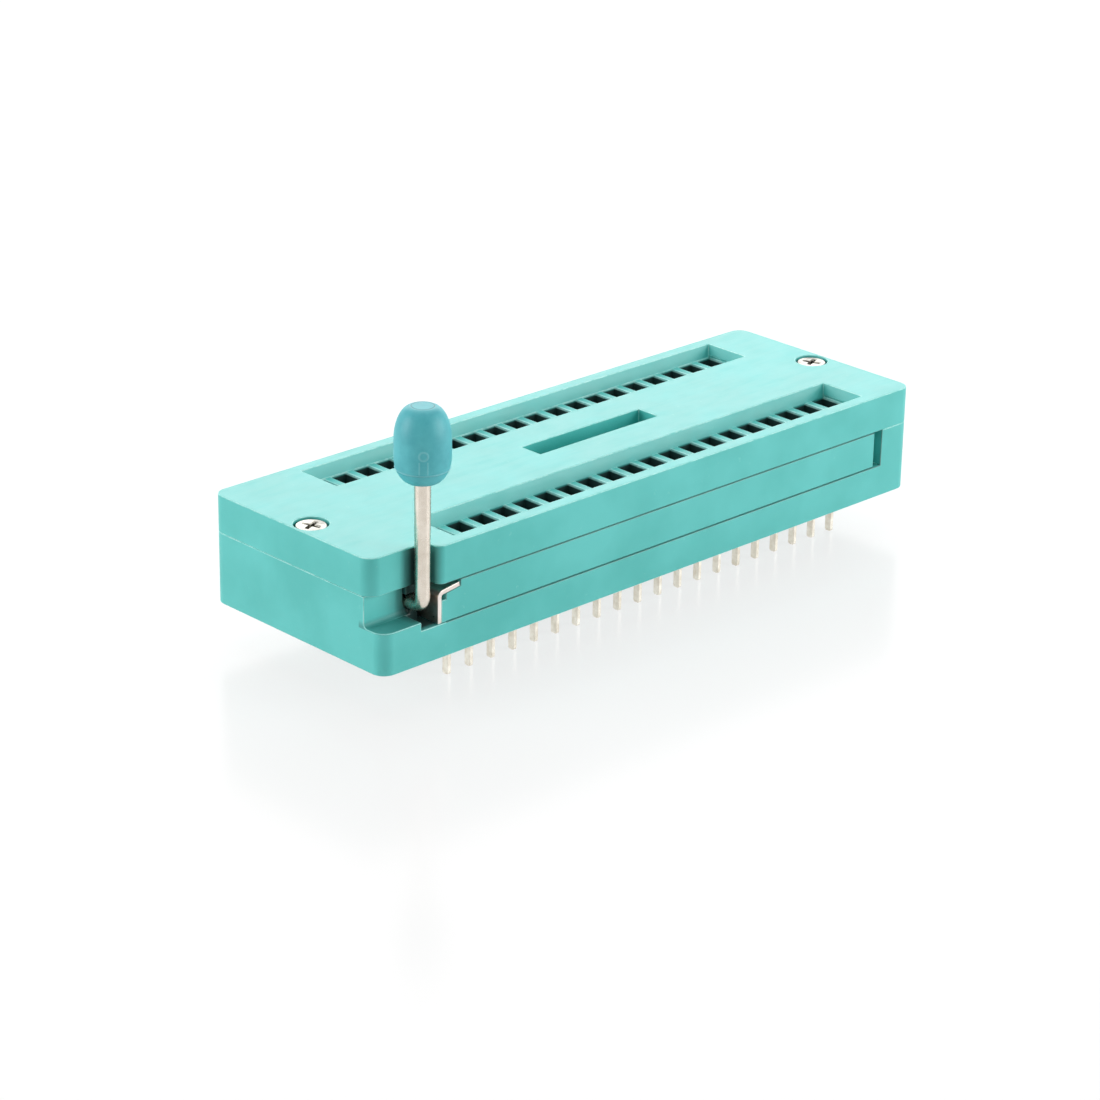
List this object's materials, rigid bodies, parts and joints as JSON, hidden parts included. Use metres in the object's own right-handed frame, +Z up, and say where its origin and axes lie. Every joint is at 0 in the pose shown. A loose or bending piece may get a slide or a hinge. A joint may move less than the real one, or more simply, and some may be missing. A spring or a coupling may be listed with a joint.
{
  "type": "zero insertion force dip socket",
  "caption": "Lever-operated zero insertion force socket for a wide dual-in-line chip, with a sliding plate, cam lever, grooved cover and through-hole board tails.",
  "frame": {"origin": "centre of the body's outline on the base's underside, the plane that seats on the board", "axes": "+X along the body away from the lever, -Y to the lever's side, +Z up off the board"},
  "size_m": [0.0652, 0.0236, 0.0261],
  "materials": {
    "body_plastic": "moulded teal thermoplastic, semi-gloss",
    "knob_plastic": "moulded blue-green plastic, satin",
    "nickel_steel": "nickel plated, satin",
    "spring_steel": "rolled sheet, bright cut edges",
    "screw_steel": "bright plated",
    "contact_tin": "tin plated strip"
  },
  "bodies": {
    "socket_body": {"base": "body_plastic", "cover": "body_plastic", "screw_front": "screw_steel", "screw_rear": "screw_steel", "contact_01": "contact_tin", "contact_02": "contact_tin", "contact_03": "contact_tin", "contact_04": "contact_tin", "contact_05": "contact_tin", "contact_06": "contact_tin", "contact_07": "contact_tin", "contact_08": "contact_tin", "contact_09": "contact_tin", "contact_10": "contact_tin", "contact_11": "contact_tin", "contact_12": "contact_tin", "contact_13": "contact_tin", "contact_14": "contact_tin", "contact_15": "contact_tin", "contact_16": "contact_tin", "contact_17": "contact_tin", "contact_18": "contact_tin", "contact_19": "contact_tin", "contact_20": "contact_tin", "contact_21": "contact_tin", "contact_22": "contact_tin", "contact_23": "contact_tin", "contact_24": "contact_tin", "contact_25": "contact_tin", "contact_26": "contact_tin", "contact_27": "contact_tin", "contact_28": "contact_tin", "contact_29": "contact_tin", "contact_30": "contact_tin", "contact_31": "contact_tin", "contact_32": "contact_tin", "contact_33": "contact_tin", "contact_34": "contact_tin", "contact_35": "contact_tin", "contact_36": "contact_tin", "contact_37": "contact_tin", "contact_38": "contact_tin", "contact_39": "contact_tin", "contact_40": "contact_tin"},
    "slider_plate": {"slider": "body_plastic", "cam_plate": "spring_steel"},
    "lever_arm": {"lever": "nickel_steel", "knob": "knob_plastic"}
  },
  "joints": [
    {"name": "lever", "type": "hinge", "parent": "socket_body", "child": "lever_arm", "pos_m": [-0.0276, 0, 0.00482], "axis": [0, -1, 0], "range_deg": [0, 90]},
    {"name": "slider", "type": "slide", "parent": "socket_body", "child": "slider_plate", "axis": [1, 0, 0], "range_m": [0, 0.00065]}
  ],
  "couplings": [
    {"joint": "lever", "follows": "slider", "rad_per_m": 2416.6}
  ]
}
